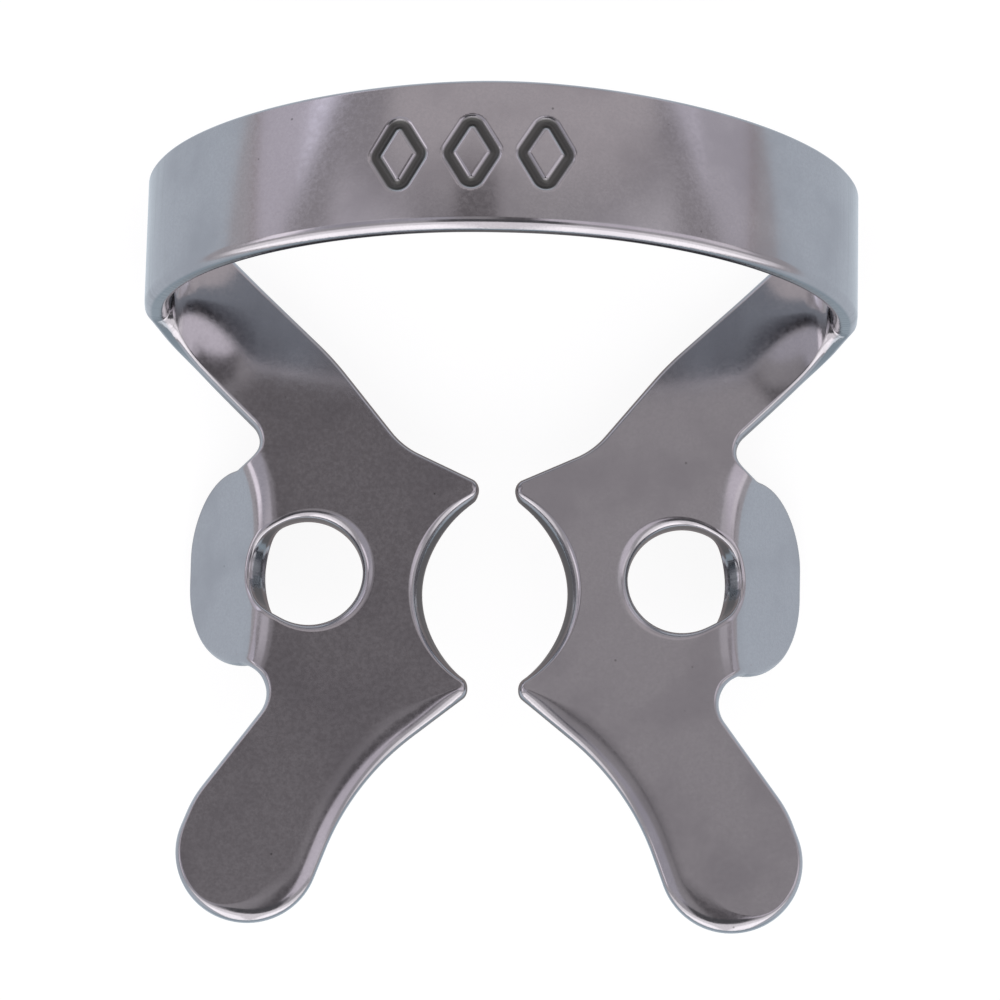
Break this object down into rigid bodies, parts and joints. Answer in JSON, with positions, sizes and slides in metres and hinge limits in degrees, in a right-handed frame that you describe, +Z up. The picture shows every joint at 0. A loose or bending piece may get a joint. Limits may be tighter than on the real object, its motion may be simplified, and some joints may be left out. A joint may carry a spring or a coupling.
{
  "type": "rubber dam clamp",
  "caption": "Winged rubber dam clamp: one folded spring steel strip whose high bow joins two flat jaws with gripping points, forceps holes, down-turned wings and round paddles.",
  "frame": {"origin": "on the surface that the clamp rests on, under the centre of its bounding box", "axes": "+X from the left jaw to the right jaw, +Y from the jaws' paddles to the bow, +Z up from the surface that the heels and wings rest on"},
  "size_m": [0.0184, 0.0214, 0.0087],
  "materials": {
    "spring_steel": "tumble-polished stainless spring steel, bright, with fine grain and rounded edges"
  },
  "bodies": {
    "root": {"clamp_body": "spring_steel"}
  },
  "joints": []
}
